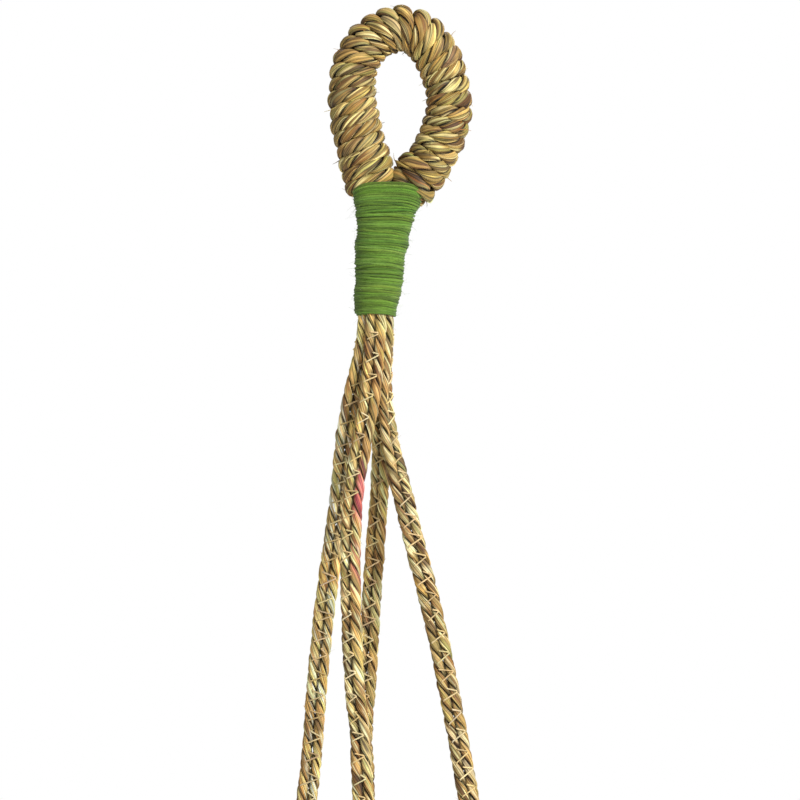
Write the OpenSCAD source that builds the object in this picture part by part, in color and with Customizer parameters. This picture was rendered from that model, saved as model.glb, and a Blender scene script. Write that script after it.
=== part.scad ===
// Hanging plant holder of twisted seagrass cord.
// Millimetres, +Z up. The origin is where the hook bears, at the top of the loop's eye.

/* [Cord] */
// Diameter of each of the eight twisted cords
cord_d = 4.6; // [4.2:0.1:4.6]
// Sides of the plain tube that stands for a cord
cord_sides = 8; // [8:1:12]
// Longest distance between two rings of a tube
ring_gap = 13; // [11:1:16]

/* [Hanging loop] */
// Outside diameter of the loop with its cord wrapping
wrap_d = 22; // [20:0.5:22]
// Thickness of the wrapping round the loop's core
wrap_wall = 5; // [3:0.5:5]
// Sides of the wrapping's tube
wrap_sides = 16; // [12:2:24]

/* [Bindings] */
// Thickness of the wound yarn
yarn_wall = 1; // [0.8:0.1:1]
// Height of each binding where a pair of cords parts
upper_binding_h = 20; // [12:1:20]
// Height of each binding that joins cords of two neighbouring pairs
lower_binding_h = 18; // [12:1:18]
// Height of the binding that gathers all eight cords
bottom_binding_h = 28; // [20:1:28]

/* [Stitching] */
// Thickness of the sewing thread
thread_d = 0.6; // [0.4:0.1:0.6]
// Distance from one stitch to the next, down the pair of cords
stitch_pitch = 9; // [7:0.5:12]

/* [Pot cradle] */
// Distance from the cradle's axis to the cords at the upper bindings
cradle_r = 72; // [70:1:76]

/* [Motion] */
// Largest swing to each side at each hinge line, in degrees
swing = 20; // [5:1:20]

/* [Hidden] */
$fn = 48;

grass = "tan";
dry_grass = "burlywood";
yarn = "olivedrab";
thread = "wheat";

cord_r = cord_d / 2;
// Half the distance between the two cords of a pair, which just clear each other
pair_half = cord_r + 0.1;
// The eight cords stand in a ring wherever they are bound together
bundle_r = pair_half / sin(22.5);
bundle_outer = bundle_r + cord_r;
// Gap between two bodies at a hinge line, so that they clear each other at full swing
hinge_gap = bundle_outer * sin(swing) + 1;
// How far a bundle reaches into the binding above its hinge line
bundle_entry = 1.5;
bundle_h = 3.6;

// The neck, where the eight cords leave the top binding
neck_x = -12.4;
neck_hinge_z = -118.5;
neck_top_z = neck_hinge_z + bundle_entry;
core_end_z = neck_top_z + hinge_gap;
legs_top_z = neck_top_z - bundle_h - hinge_gap;

// The cradle, which hangs round its own axis
cradle_x = -10;
upper_z = -566;
cradle_z = upper_z - 20;
lower_binding_drop = 73;
bottom_binding_z = cradle_z - 188;
tassel_hinge_z = bottom_binding_z - bottom_binding_h + 0.5;
tassel_neck_z = tassel_hinge_z + bundle_entry;
cords_end_z = tassel_neck_z + hinge_gap;
tassel_top_z = tassel_neck_z - bundle_h - hinge_gap;

// Centre line of the loop's core in the plane of the eye, as [x, z], from the neck up the left arm,
// over the top and down the right arm. Its two ends run down inside the top binding.
LEFT_ARM = [
    [-16.3, core_end_z], [-16.1, -104], [-15.4, -92], [-14.9, -80], [-14.9, -70], [-15.6, -63]
];
LOOP = [
    [-16.4, -59], [-18.6, -48], [-21.6, -34], [-23.3, -20], [-22, -7], [-16.4, 3.2], [-8.6, 9.2], [0, 11],
    [8.4, 7.8], [15, -1.2], [19.3, -12.5], [20.6, -24], [17.9, -37], [12.4, -48], [6.4, -58.6]
];
RIGHT_ARM = [
    [1.6, -62], [-0.8, -67], [-2.9, -77], [-5, -90], [-7.2, -102], [-8.5, core_end_z]
];
wrap_end_z = -59.5;
core_offset = 2.35;

// The top binding's outline, as [z, centre x, half width, half depth]
TOP_BINDING = [
    [-62.5, -6.8, 16.1, 9.8], [-66.5, -7.2, 14.9, 9.8], [-70, -7.7, 13.9, 9.9], [-77, -8.4, 12.9, 10],
    [-91, -10.4, 11.8, 10], [-103, -10.8, 11.2, 10], [-109, -11.8, 11, 10],
    [-114, -12.4, 10.4, 10.3], [-119, -12.4, 10.2, 10.2]
];

// Middle line of each sewn pair of cords, as [x, y, z, facing], from the neck down to its upper binding.
// The facing is the direction from one cord of the pair to the other, in degrees from +X.
FRONT_LEG = [
    [-12.4, -5.8, legs_top_z, 0], [-13, -6.2, -134, 0], [-13.8, -7, -145, 0], [-15.3, -8.2, -158, -3],
    [-19, -10.8, -178, -9], [-22.3, -14.2, -201, -16], [-23.4, -17.5, -224, -22], [-23.2, -21, -247, -25],
    [-21.6, -26, -282, -24], [-19.2, -29, -302, -19], [-18, -32.5, -322, -10], [-16, -39.5, -362, -2],
    [-14, -46.5, -402, 0], [-12, -53.5, -442, 0], [-10.8, -60.5, -482, 0], [-10.2, -67, -520, 0],
    [-10, -71, -548, 0], [cradle_x, -cradle_r, upper_z, 0]
];
RIGHT_LEG = [
    [-6.6, 0, legs_top_z, 90], [-7.2, 0, -134, 88], [-7.8, 0.2, -145, 80], [-7.9, 0.4, -158, 64],
    [-5.2, 0.5, -178, 44], [0.3, 0.5, -201, 16], [6.1, 0.5, -224, 8], [12.1, 0.5, -247, 5],
    [19.7, 0.4, -282, 4], [27.2, 0.2, -322, 5], [34, 0, -362, 16], [40, 0, -402, 32],
    [45.8, 0, -442, 50], [51.4, 0, -482, 68], [57, 0, -520, 82], [60.8, 0, -548, 89],
    [cradle_x + cradle_r, 0, upper_z, 90]
];
BACK_LEG = [
    [-12.4, 5.8, legs_top_z, 0], [-12.2, 6.4, -134, 0], [-11.8, 7.6, -145, -6], [-11, 9.5, -158, -16],
    [-10, 12, -178, -34], [-10.9, 15, -201, -40], [-12.6, 18, -224, -30], [-14.2, 21.5, -247, -24],
    [-16.4, 27, -282, -20], [-18.2, 30, -302, -14], [-18.2, 33.5, -322, -8], [-16.2, 40.5, -362, -2],
    [-13.8, 47.5, -402, 0], [-12, 54.5, -442, 0], [-10.8, 61.5, -482, 0], [-10.2, 67.5, -520, 0],
    [-10, 71, -548, 0], [cradle_x, cradle_r, upper_z, 0]
];
LEFT_LEG = [
    [-18.2, 0, legs_top_z, 90], [-19.1, 0, -134, 75], [-20.8, 0.4, -145, 45], [-23.2, 1, -158, 14],
    [-26.1, 1, -178, 2], [-28.5, 1, -201, 0], [-31.8, 1, -224, 0], [-34.9, 1, -247, 0],
    [-38.4, 1, -282, 0], [-41.6, 0.6, -322, 2], [-46.4, 0.3, -362, 14], [-52.4, 0, -402, 32],
    [-59.2, 0, -442, 50], [-66.4, 0, -482, 68], [-74, 0, -520, 82], [-79.4, 0, -548, 89],
    [cradle_x - cradle_r, 0, upper_z, 90]
];
LEGS = [FRONT_LEG, RIGHT_LEG, BACK_LEG, LEFT_LEG];
leg_angle = [270, 0, 90, 180];
// Which way round the cradle the second cord of each pair turns: 1 is counterclockwise from above
leg_turn = [1, 1, -1, -1];

// Route of every cord through the cradle, as [share of the way to the next lower binding, distance from
// the cradle's axis, drop below the upper bindings]. At share 1 it lies beside a cord of the next pair.
CRADLE = [
    [0, cradle_r, 0], [0.015, cradle_r, 5], [0.09, 72, 12], [0.3, 71.3, 25], [0.6, 69, 40],
    [0.86, 66.5, 54], [0.97, 65, 62], [1, 64.3, 69], [1, 64, 73], [1, 64, 91], [1, 63.3, 98],
    [1, 58.5, 111], [1, 49.5, 123], [1, 38, 134], [1, 26.5, 144.5], [1, 17, 155], [1, 10.5, 166],
    [1, 7, 177], [1, bundle_r * cos(22.5), 188], [1, bundle_r * cos(22.5), cradle_z - cords_end_z]
];

// Route of a tassel cord, as [distance from the axis, height], before each cord's own spread and reach
TASSEL = [
    [bundle_r, tassel_top_z], [bundle_r, -816], [6.8, -828], [8.4, -842], [10.4, -857],
    [12.2, -872], [13.4, -887], [14.2, -902], [14.6, -920]
];
tassel_spread = [1, 0.7, 1.15, 0.85, 1.05, 0.75, 1.2, 0.9];
tassel_reach = [1, 0.93, 0.97, 0.99, 0.92, 0.96, 1, 0.94];

function unit(v) = v / norm(v);
function mid(p, q, t) = p + (q - p) * t;
function clamp(v) = min(1, max(0, v));
function turned(angle) = [cos(angle), sin(angle), 0];

// Point a share t of the way from b to c, on the smooth curve through a, b, c and d
function curve(a, b, c, d, t) =
    0.5 * (2 * b + (c - a) * t + (2 * a - 5 * b + 4 * c - d) * t * t + (3 * b - a - 3 * c + d) * t * t * t);

// How many steps each stretch of a route takes
function steps_of(route) = [
    for (i = [0 : len(route) - 2])
        ceil(norm(route[i + 1] - route[i]) / ring_gap)
];

// Smooth line through a route's points
function smooth(route, steps) = let (last = len(route) - 1) [
    for (i = [0 : last - 1], k = [0 : steps[i] - 1])
        curve(route[max(i - 1, 0)], route[i], route[i + 1], route[min(i + 2, last)], k / steps[i]),
    route[last]
];

function heading(line, i) = unit(line[min(i + 1, len(line) - 1)] - line[max(i - 1, 0)]);

// Ring of points square to a line at its point i. The line never runs along the reference direction.
function ring(line, i, r, sides, reference) =
    let (along = heading(line, i), u = unit(cross(reference, along)), v = cross(along, u)) [
        for (k = [0 : sides - 1])
            line[i] + r * (cos(360 * k / sides) * u + sin(360 * k / sides) * v)
    ];
function rings(line, r, sides, reference) = [
    for (i = [0 : len(line) - 1])
        ring(line, i, r, sides, reference)
];

function side_faces(count, sides, first, inward) = [
    for (i = [0 : count - 2], k = [0 : sides - 1])
        let (a = first + i * sides + k, b = first + i * sides + (k + 1) % sides)
            each inward ? [[a, b, b + sides], [a, b + sides, a + sides]]
                        : [[a, b + sides, b], [a, a + sides, b + sides]]
];

// Closed solid through a list of rings
module skin(outer) {
    sides = len(outer[0]);
    end = (len(outer) - 1) * sides;
    polyhedron(
        points = [for (r = outer) each r],
        faces = concat(
            [[for (k = [0 : sides - 1]) k]],
            side_faces(len(outer), sides, 0, false),
            [[for (k = [sides - 1 : -1 : 0]) end + k]]
        ),
        convexity = 10
    );
}

// Closed solid between two lists of rings, open from end to end
module sleeve(outer, inner) {
    sides = len(outer[0]);
    total = len(outer) * sides;
    end = total - sides;
    polyhedron(
        points = concat([for (r = outer) each r], [for (r = inner) each r]),
        faces = concat(
            side_faces(len(outer), sides, 0, false),
            side_faces(len(inner), sides, total, true),
            [for (k = [0 : sides - 1]) let (n = (k + 1) % sides) each [
                [k, n, total + n], [k, total + n, total + k],
                [end + k, total + end + n, end + n], [end + k, total + end + k, total + end + n]
            ]]
        ),
        convexity = 10
    );
}

// Core of the loop: four cords side by side, two and two. Inside the top binding they spread out
// into the ring of eight that leaves its mouth.
core_route = [for (p = concat(LEFT_ARM, LOOP, RIGHT_ARM)) [p[0], 0, p[1]]];
core_line = smooth(core_route, steps_of(core_route));
function spreading(z) = clamp((-60 - z) / 45);

// out is 1 for the two outer cords of the loop and -1 for the inner ones, back is 1 behind the middle
function core_cord_line(out, back) = [
    for (i = [0 : len(core_line) - 1])
        let (
            w = spreading(core_line[i][2]),
            outward = cross(heading(core_line, i), [0, 1, 0]),
            ring_angle = out > 0 ? 22.5 : 67.5,
            across = mid(core_offset, bundle_r * (cos(22.5) - cos(67.5)) / 2, w),
            depth = mid(core_offset, bundle_r * sin(ring_angle), w)
        )
        core_line[i] + out * across * outward + back * depth * [0, 1, 0]
];

module core_cord(out, back) {
    color(grass)
        skin(rings(core_cord_line(out, back), cord_r, cord_sides, [0, 1, 0]));
}

module loop_wrap() {
    wrap_line = [for (p = core_line) if (p[2] > wrap_end_z) p];
    color(dry_grass)
        sleeve(
            rings(wrap_line, wrap_d / 2, wrap_sides, [0, 1, 0]),
            rings(wrap_line, wrap_d / 2 - wrap_wall, wrap_sides, [0, 1, 0])
        );
}

function oval(section, inset) = [
    for (k = [0 : 23])
        [
            section[1] + (section[2] - inset) * cos(-15 * k),
            (section[3] - inset) * sin(-15 * k),
            section[0]
        ]
];

module top_binding() {
    color(yarn)
        sleeve([for (s = TOP_BINDING) oval(s, 0)], [for (s = TOP_BINDING) oval(s, yarn_wall)]);
}

// Short bundle of the eight cords between two hinge lines
module bundle(x, top) {
    color(grass)
        for (k = [0 : 7])
            translate([x, 0, top - bundle_h] + bundle_r * turned(22.5 + 45 * k))
                cylinder(r = cord_r, h = bundle_h);
}

// Direction across a sewn pair, from its first cord to its second, square to the pair
function pair_side(leg, i) =
    let (
        line = [for (p = leg) [p[0], p[1], p[2]]],
        along = heading(line, i),
        across = turned(leg[i][3])
    )
    unit(across - (across * along) * along);

// Points of one cord down its leg: side is -1 for the first cord of the pair and 1 for the second
function leg_part(leg, side) = [
    for (i = [0 : len(LEGS[leg]) - 1])
        let (p = LEGS[leg][i])
        [p[0], p[1], p[2]] + side * pair_half * pair_side(LEGS[leg], i)
];

// Points of the same cord through the cradle, to the bottom binding
function cradle_part(leg, side) =
    let (turn = side * leg_turn[leg]) [
        for (c = CRADLE)
            let (angle = leg_angle[leg] + turn * 45 * c[0], sideways = turn * pair_half * (1 - 2 * c[0]))
            [cradle_x, 0, cradle_z - c[2]] + c[1] * turned(angle) + sideways * turned(angle + 90)
    ];

function cord_route(leg, side) = concat(leg_part(leg, side), cradle_part(leg, side));
function cord_line(leg, side) = smooth(cord_route(leg, side), steps_of(cord_route(leg, 1)));

module leg_cord(leg, side) {
    color(grass)
        skin(rings(cord_line(leg, side), cord_r, cord_sides, [1, 0, 0]));
}

// Thread sewn round both cords of a pair, which are the lines first and second
stitch_top_z = -152;
stitch_end_z = upper_z + 8;
thread_sides = 3;
stitch_across = pair_half + cord_r + thread_d / 2 + 0.1;
stitch_depth = cord_r + thread_d / 2 + 0.1;

function stitch_point(first, second, z, across, depth) =
    let (
        i = max([for (k = [0 : len(first) - 2]) if (first[k][2] >= z) k]),
        t = (first[i][2] - z) / (first[i][2] - first[i + 1][2]),
        p = mid(first[i], first[i + 1], t),
        q = mid(second[i], second[i + 1], t),
        side = unit(q - p),
        facing = cross(side, unit(first[i + 1] - first[i]))
    )
    (p + q) / 2 + across * side + depth * facing;

module stitching(leg) {
    first = cord_line(leg, -1);
    second = cord_line(leg, 1);
    corners = floor((stitch_top_z - stitch_end_z) / stitch_pitch) * 4;
    line = [
        for (j = [0 : corners])
            stitch_point(
                first, second, stitch_top_z - j * stitch_pitch / 4,
                stitch_across * (j % 4 == 1 || j % 4 == 2 ? 1 : -1),
                stitch_depth * (j % 4 < 2 ? -1 : 1)
            )
    ];
    color(thread)
        skin(rings(line, thread_d / 2, thread_sides, [0, 0, 1]));
}

module rounded_bar(half_width, r) {
    for (x = [-half_width, half_width])
        translate([x, 0])
            circle(r = r);
    square([2 * half_width, 2 * r], center = true);
}

// Yarn wound round two upright cords that stand side by side, across the direction of angle
module pair_binding(angle, r, top, h) {
    color(yarn)
        translate([cradle_x, 0, top - h] + r * turned(angle))
            rotate([0, 0, angle + 90])
                linear_extrude(h)
                    difference() {
                        rounded_bar(pair_half, cord_r + 0.25 + yarn_wall);
                        rounded_bar(pair_half, cord_r + 0.25);
                    }
}

module upper_binding(leg) {
    pair_binding(leg_angle[leg], cradle_r, upper_z, upper_binding_h);
}

module lower_binding(leg) {
    pair_binding(leg_angle[leg] + 45, 64, cradle_z - lower_binding_drop, lower_binding_h);
}

module bottom_binding() {
    hole_r = bundle_outer + 0.6;
    belly = hole_r + yarn_wall + 0.5;
    color(yarn)
        translate([cradle_x, 0, bottom_binding_z - bottom_binding_h])
            rotate_extrude()
                polygon([
                    [hole_r, 0], [hole_r + yarn_wall, 0], [belly, bottom_binding_h * 0.3],
                    [belly, bottom_binding_h * 0.7], [hole_r + yarn_wall, bottom_binding_h],
                    [hole_r, bottom_binding_h]
                ]);
}

function tassel_line(k) =
    let (
        route = [
            for (p = TASSEL)
                [cradle_x, 0, tassel_top_z + (p[1] - tassel_top_z) * tassel_reach[k]]
                + (bundle_r + (p[0] - bundle_r) * tassel_spread[k]) * turned(22.5 + 45 * k)
        ]
    )
    smooth(route, steps_of(route));

module tassel_cord(k) {
    color(grass)
        skin(rings(tassel_line(k), cord_r, cord_sides, [1, 0, 0]));
}

// A thread tie near the end of each tassel cord keeps its twist in
module tassel_end_ties() {
    for (k = [0 : 7]) {
        line = tassel_line(k);
        last = len(line) - 1;
        tie = [mid(line[last - 1], line[last], 0.3), mid(line[last - 1], line[last], 0.75)];
        color(thread)
            sleeve(
                rings(tie, cord_r + 0.9, cord_sides, [1, 0, 0]),
                rings(tie, cord_r + 0.15, cord_sides, [1, 0, 0])
            );
    }
}

core_cord(1, -1);  // core_cord_1
core_cord(1, 1);  // core_cord_2
core_cord(-1, -1);  // core_cord_3
core_cord(-1, 1);  // core_cord_4
loop_wrap();
top_binding();
bundle(neck_x, neck_top_z);  // neck_cords
leg_cord(0, -1);  // front_cord_a
leg_cord(0, 1);  // front_cord_b
leg_cord(1, -1);  // right_cord_a
leg_cord(1, 1);  // right_cord_b
leg_cord(2, -1);  // back_cord_a
leg_cord(2, 1);  // back_cord_b
leg_cord(3, -1);  // left_cord_a
leg_cord(3, 1);  // left_cord_b
stitching(0);  // front_stitching
stitching(1);  // right_stitching
stitching(2);  // back_stitching
stitching(3);  // left_stitching
upper_binding(0);  // front_upper_binding
upper_binding(1);  // right_upper_binding
upper_binding(2);  // back_upper_binding
upper_binding(3);  // left_upper_binding
lower_binding(0);  // front_right_binding
lower_binding(1);  // back_right_binding
lower_binding(2);  // back_left_binding
lower_binding(3);  // front_left_binding
bottom_binding();
bundle(cradle_x, tassel_neck_z);  // tassel_neck_cords
tassel_cord(0);  // tassel_cord_1
tassel_cord(1);  // tassel_cord_2
tassel_cord(2);  // tassel_cord_3
tassel_cord(3);  // tassel_cord_4
tassel_cord(4);  // tassel_cord_5
tassel_cord(5);  // tassel_cord_6
tassel_cord(6);  // tassel_cord_7
tassel_cord(7);  // tassel_cord_8
tassel_end_ties();
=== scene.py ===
"""Hanging plant holder of twisted seagrass cord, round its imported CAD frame.

Lengths below are in millimetres, in the CAD frame, and become metres when a mesh is made. The cords'
routes repeat the CAD model's own points, except that their ends draw in inside the bindings and the two
cords of a pair lie closer together. The top binding's outline is this script's own. Every cord is two
plies of grass blades; every blade keeps its own run of mesh columns, so its edges are real.
"""
import math

import bpy
import numpy as np
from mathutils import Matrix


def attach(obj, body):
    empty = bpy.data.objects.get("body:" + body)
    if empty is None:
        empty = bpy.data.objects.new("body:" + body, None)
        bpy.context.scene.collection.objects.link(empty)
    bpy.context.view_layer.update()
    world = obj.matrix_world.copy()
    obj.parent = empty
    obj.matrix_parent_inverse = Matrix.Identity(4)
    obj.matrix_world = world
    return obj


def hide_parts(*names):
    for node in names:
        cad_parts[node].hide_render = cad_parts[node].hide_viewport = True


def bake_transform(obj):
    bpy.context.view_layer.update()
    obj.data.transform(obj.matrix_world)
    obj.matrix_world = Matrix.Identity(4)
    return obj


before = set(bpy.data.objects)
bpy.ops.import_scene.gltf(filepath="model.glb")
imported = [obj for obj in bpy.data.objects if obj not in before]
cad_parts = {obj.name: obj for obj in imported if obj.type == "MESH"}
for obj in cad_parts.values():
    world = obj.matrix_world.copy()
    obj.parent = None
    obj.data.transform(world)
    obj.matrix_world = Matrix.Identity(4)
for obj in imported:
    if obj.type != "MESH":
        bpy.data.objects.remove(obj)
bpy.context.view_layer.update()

MM = 0.001
rng_of = np.random.default_rng

# ---------------------------------------------------------------------------------------------- camera

scene = bpy.context.scene
camera_data = bpy.data.cameras.new("camera")
camera_data.sensor_width = 36
camera_data.lens = 180
camera_data.clip_end = 20
camera = bpy.data.objects.new("camera", camera_data)
camera.location = (-0.00135, -1.8, -0.15615)
camera.rotation_euler = (math.radians(90), 0, 0)
scene.collection.objects.link(camera)
scene.camera = camera

# ---------------------------------------------------------------------------------- routes, as in the CAD

CORD_R = 2.3
# spacing of the points along a cord
STEP = 0.9
# eight cords stand in a ring in a binding's mouth, and this is half the angle between two of them
HALF_EIGHTH = 22.5
BUNDLE_R = (CORD_R + 0.1) / math.sin(math.radians(HALF_EIGHTH))
BUNDLE_FLAT_R = BUNDLE_R * math.cos(math.radians(HALF_EIGHTH))
# sewn cords press into each other a little
PAIR_HALF = CORD_R - 0.06
NECK_X, CRADLE_X = -12.4, -10.0
CORE_END_Z, LEGS_TOP_Z, UPPER_Z, CRADLE_Z = -113.1, -124.5, -566.0, -586.0
# bindings round two cords: distance from the axis and height, and the lower ones' drop
UPPER_R, UPPER_H = 72, 20
LOWER_R, LOWER_H, LOWER_DROP = 64, 18, 73
BOTTOM_Z, BOTTOM_H = -774, 28
LEFT_ARM = [[-16.3, CORE_END_Z], [-16.1, -104], [-15.4, -92], [-14.9, -80], [-14.9, -70], [-15.6, -63]]
LOOP = [[-16.4, -59], [-18.6, -48], [-21.6, -34], [-23.3, -20], [-22, -7], [-16.4, 3.2], [-8.6, 9.2],
        [0, 11], [8.4, 7.8], [15, -1.2], [19.3, -12.5], [20.6, -24], [17.9, -37], [12.4, -48], [6.4, -58.6]]
RIGHT_ARM = [[1.6, -62], [-0.8, -67], [-2.9, -77], [-5, -90], [-7.2, -102], [-8.5, CORE_END_Z]]
# [z, centre x, half width, half depth] of the top binding
TOP_BINDING = [[-61.5, -6.8, 16, 9.7], [-66.5, -7, 15, 9.6], [-70, -7.7, 13.5, 9.5],
               [-77, -8.4, 12.4, 9.5], [-91, -10.4, 11.4, 9.4], [-103, -10.8, 10.8, 9.4],
               [-109, -11.8, 10.6, 9.3], [-114, -12.4, 9.9, 9.2], [-119, -12.4, 9.2, 9.2]]
# [x, y, z, facing] down the middle of each sewn pair
FRONT_LEG = [
    [-12.4, -5.8, LEGS_TOP_Z, 0], [-13, -6.2, -134, 0], [-13.8, -7, -145, 0], [-15.3, -8.2, -158, -3],
    [-19, -10.8, -178, -9], [-22.3, -14.2, -201, -16], [-23.4, -17.5, -224, -22], [-23.2, -21, -247, -25],
    [-21.6, -26, -282, -24], [-19.2, -29, -302, -19], [-18, -32.5, -322, -10], [-16, -39.5, -362, -2],
    [-14, -46.5, -402, 0], [-12, -53.5, -442, 0], [-10.8, -60.5, -482, 0], [-10.2, -67, -520, 0],
    [-10, -71, -548, 0], [-10, -72, UPPER_Z, 0]]
RIGHT_LEG = [
    [-6.6, 0, LEGS_TOP_Z, 90], [-7.2, 0, -134, 88], [-7.8, 0.2, -145, 80], [-7.9, 0.4, -158, 64],
    [-5.2, 0.5, -178, 44], [0.3, 0.5, -201, 16], [6.1, 0.5, -224, 8], [12.1, 0.5, -247, 5],
    [19.7, 0.4, -282, 4], [27.2, 0.2, -322, 5], [34, 0, -362, 16], [40, 0, -402, 32],
    [45.8, 0, -442, 50], [51.4, 0, -482, 68], [57, 0, -520, 82], [60.8, 0, -548, 89],
    [62, 0, UPPER_Z, 90]]
BACK_LEG = [
    [-12.4, 5.8, LEGS_TOP_Z, 0], [-12.2, 6.4, -134, 0], [-11.8, 7.6, -145, -6], [-11, 9.5, -158, -16],
    [-10, 12, -178, -34], [-10.9, 15, -201, -40], [-12.6, 18, -224, -30], [-14.2, 21.5, -247, -24],
    [-16.4, 27, -282, -20], [-18.2, 30, -302, -14], [-18.2, 33.5, -322, -8], [-16.2, 40.5, -362, -2],
    [-13.8, 47.5, -402, 0], [-12, 54.5, -442, 0], [-10.8, 61.5, -482, 0], [-10.2, 67.5, -520, 0],
    [-10, 71, -548, 0], [-10, 72, UPPER_Z, 0]]
LEFT_LEG = [
    [-18.2, 0, LEGS_TOP_Z, 90], [-19.1, 0, -134, 75], [-20.8, 0.4, -145, 45], [-23.2, 1, -158, 14],
    [-26.1, 1, -178, 2], [-28.5, 1, -201, 0], [-31.8, 1, -224, 0], [-34.9, 1, -247, 0],
    [-38.4, 1, -282, 0], [-41.6, 0.6, -322, 2], [-46.4, 0.3, -362, 14], [-52.4, 0, -402, 32],
    [-59.2, 0, -442, 50], [-66.4, 0, -482, 68], [-74, 0, -520, 82], [-79.4, 0, -548, 89],
    [-82, 0, UPPER_Z, 90]]
LEGS = {"front": FRONT_LEG, "right": RIGHT_LEG, "back": BACK_LEG, "left": LEFT_LEG}
LEG_ANGLE = {"front": 270, "right": 0, "back": 90, "left": 180}
LEG_TURN = {"front": 1, "right": 1, "back": -1, "left": -1}
# [share of the way to the lower binding, distance from the axis, drop]
CRADLE = [
    [0, 72, 0], [0.015, 72, 5], [0.09, 72, 12], [0.3, 71.3, 25], [0.6, 69, 40], [0.86, 66.5, 54],
    [0.97, 65, 62], [1, 64.3, 69], [1, 64, 73], [1, 64, 91], [1, 63.3, 98], [1, 58.5, 111],
    [1, 49.5, 123], [1, 38, 134], [1, 26.5, 144.5], [1, 17, 155], [1, 10.5, 166], [1, 7, 177],
    [1, BUNDLE_FLAT_R, 188], [1, BUNDLE_FLAT_R, 208.3]]
TASSEL_TOP_Z = -807.5
TASSEL = [[BUNDLE_R, TASSEL_TOP_Z], [BUNDLE_R, -816], [6.8, -828], [8.4, -842], [10.4, -857],
          [12.2, -872], [13.4, -887], [14.2, -902], [14.6, -920]]
TASSEL_SPREAD = [1, 0.7, 1.15, 0.85, 1.05, 0.75, 1.2, 0.9]
TASSEL_REACH = [1, 0.93, 0.97, 0.99, 0.92, 0.96, 1, 0.94]


def unit(v):
    return v / np.maximum(np.linalg.norm(v, axis=-1, keepdims=True), 1e-12)


def turned(angle):
    return np.array([math.cos(math.radians(angle)), math.sin(math.radians(angle)), 0.0])


def smooth(route, k=24):
    """Dense smooth line through a route's points."""
    p = np.array(route, float)
    a, b, c, d = (p[np.clip(np.arange(len(p) - 1) + i, 0, len(p) - 1)] for i in (-1, 0, 1, 2))
    t = (np.arange(k) / k)[None, :, None]
    a, b, c, d = (x[:, None] for x in (a, b, c, d))
    line = 0.5 * (2 * b + (c - a) * t + (2 * a - 5 * b + 4 * c - d) * t ** 2
                  + (3 * b - a - 3 * c + d) * t ** 3)
    return np.concatenate([line.reshape(-1, p.shape[1]), p[-1:]])


def lengths(line):
    return np.concatenate([[0], np.cumsum(np.linalg.norm(np.diff(line, axis=0), axis=1))])


def spaced(line, step):
    """The line again, with points an even step apart."""
    along = lengths(line)
    at = np.linspace(0, along[-1], max(2, int(math.ceil(along[-1] / step)) + 1))
    return np.stack([np.interp(at, along, line[:, k]) for k in range(line.shape[1])], axis=1)


def frames_along(line, reference):
    """Tangents, and two directions square to them that turn as little as they can."""
    t = unit(np.gradient(line, axis=0))
    u = np.empty_like(t)
    u[0] = unit(np.cross(np.cross(t[0], reference), t[0]))
    for i in range(1, len(t)):
        u[i] = u[i - 1] - t[i] * (u[i - 1] @ t[i])
        u[i] /= np.linalg.norm(u[i])
    return t, u, np.cross(t, u)


def slow_noise(rng, n, every, amount):
    """Smooth random values along n points, with a new value every so many points."""
    knots = rng.normal(0, amount, int(n / every) + 4)
    x = np.arange(n) / every + 1
    i = x.astype(int)
    f = x - i
    f = f * f * (3 - 2 * f)
    return knots[i] * (1 - f) + knots[i + 1] * f


def pair_side(route, i):
    p = np.array([r[:3] for r in route], float)
    along = unit(p[min(i + 1, len(p) - 1)] - p[max(i - 1, 0)])
    across = turned(route[i][3])
    return unit(across - (across @ along) * along)


def cord_route(leg, side):
    route = LEGS[leg]
    points = [np.array(r[:3], float) + side * PAIR_HALF * pair_side(route, i) for i, r in enumerate(route)]
    # inside the binding the cords draw together, so that they clear it as they swing
    mouth = np.array([NECK_X, 0, LEGS_TOP_Z])
    top = [mouth + share * (points[0] - mouth) + [0, 0, up] for up, share in ((9.5, 0.84), (5.0, 0.95))]
    turn = side * LEG_TURN[leg]
    for share, r, drop in CRADLE:
        angle = LEG_ANGLE[leg] + turn * 45 * share
        points.append(np.array([CRADLE_X, 0, CRADLE_Z - drop]) + r * turned(angle)
                      + turn * PAIR_HALF * (1 - 2 * share) * turned(angle + 90))
    return np.array(top + points)


# ------------------------------------------------------------------------------------------ mesh building

# Display colours of dried grass, with how often each turns up
GRASS = [((0.81, 0.69, 0.43), 4.5), ((0.72, 0.57, 0.32), 4), ((0.95, 0.89, 0.68), 4),
         ((0.66, 0.61, 0.34), 2.4), ((0.57, 0.41, 0.21), 3), ((0.36, 0.25, 0.13), 1.8),
         ((0.73, 0.71, 0.47), 1.4)]
WRAPPING = [((0.92 * r, 0.91 * g, 0.82 * b), often * (2.3 if r < 0.4 else 1)) for (r, g, b), often in GRASS]
PINK = [((0.90, 0.54, 0.50), 2.5), ((0.68, 0.36, 0.30), 3), ((0.58, 0.24, 0.30), 1.4),
        ((0.74, 0.50, 0.36), 1.6)]
# each leg's grass: how much brighter, and how much straw colour it has over that; painted light,
# which lightens the left and back legs that the other legs shade from the key lamp
LEG_PALETTE = {leg: [(tuple(min(k * c + more * w, 0.97) for c, w in zip(colour, (1, 0.92, 0.72))), often)
                     for colour, often in GRASS]
               for leg, k, more in (("front", 1.04, 0), ("right", 0.97, 0), ("back", 1.08, 0),
                                    ("left", 1.13, 0.1))}
GREENS = [((0.36, 0.49, 0.15), 5), ((0.40, 0.53, 0.18), 4), ((0.31, 0.43, 0.12), 3),
          ((0.46, 0.58, 0.24), 0.8)]


def linear(c):
    c = np.asarray(c, float)
    return np.where(c <= 0.04045, c / 12.92, ((np.maximum(c, 0) + 0.055) / 1.055) ** 2.4)


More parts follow.
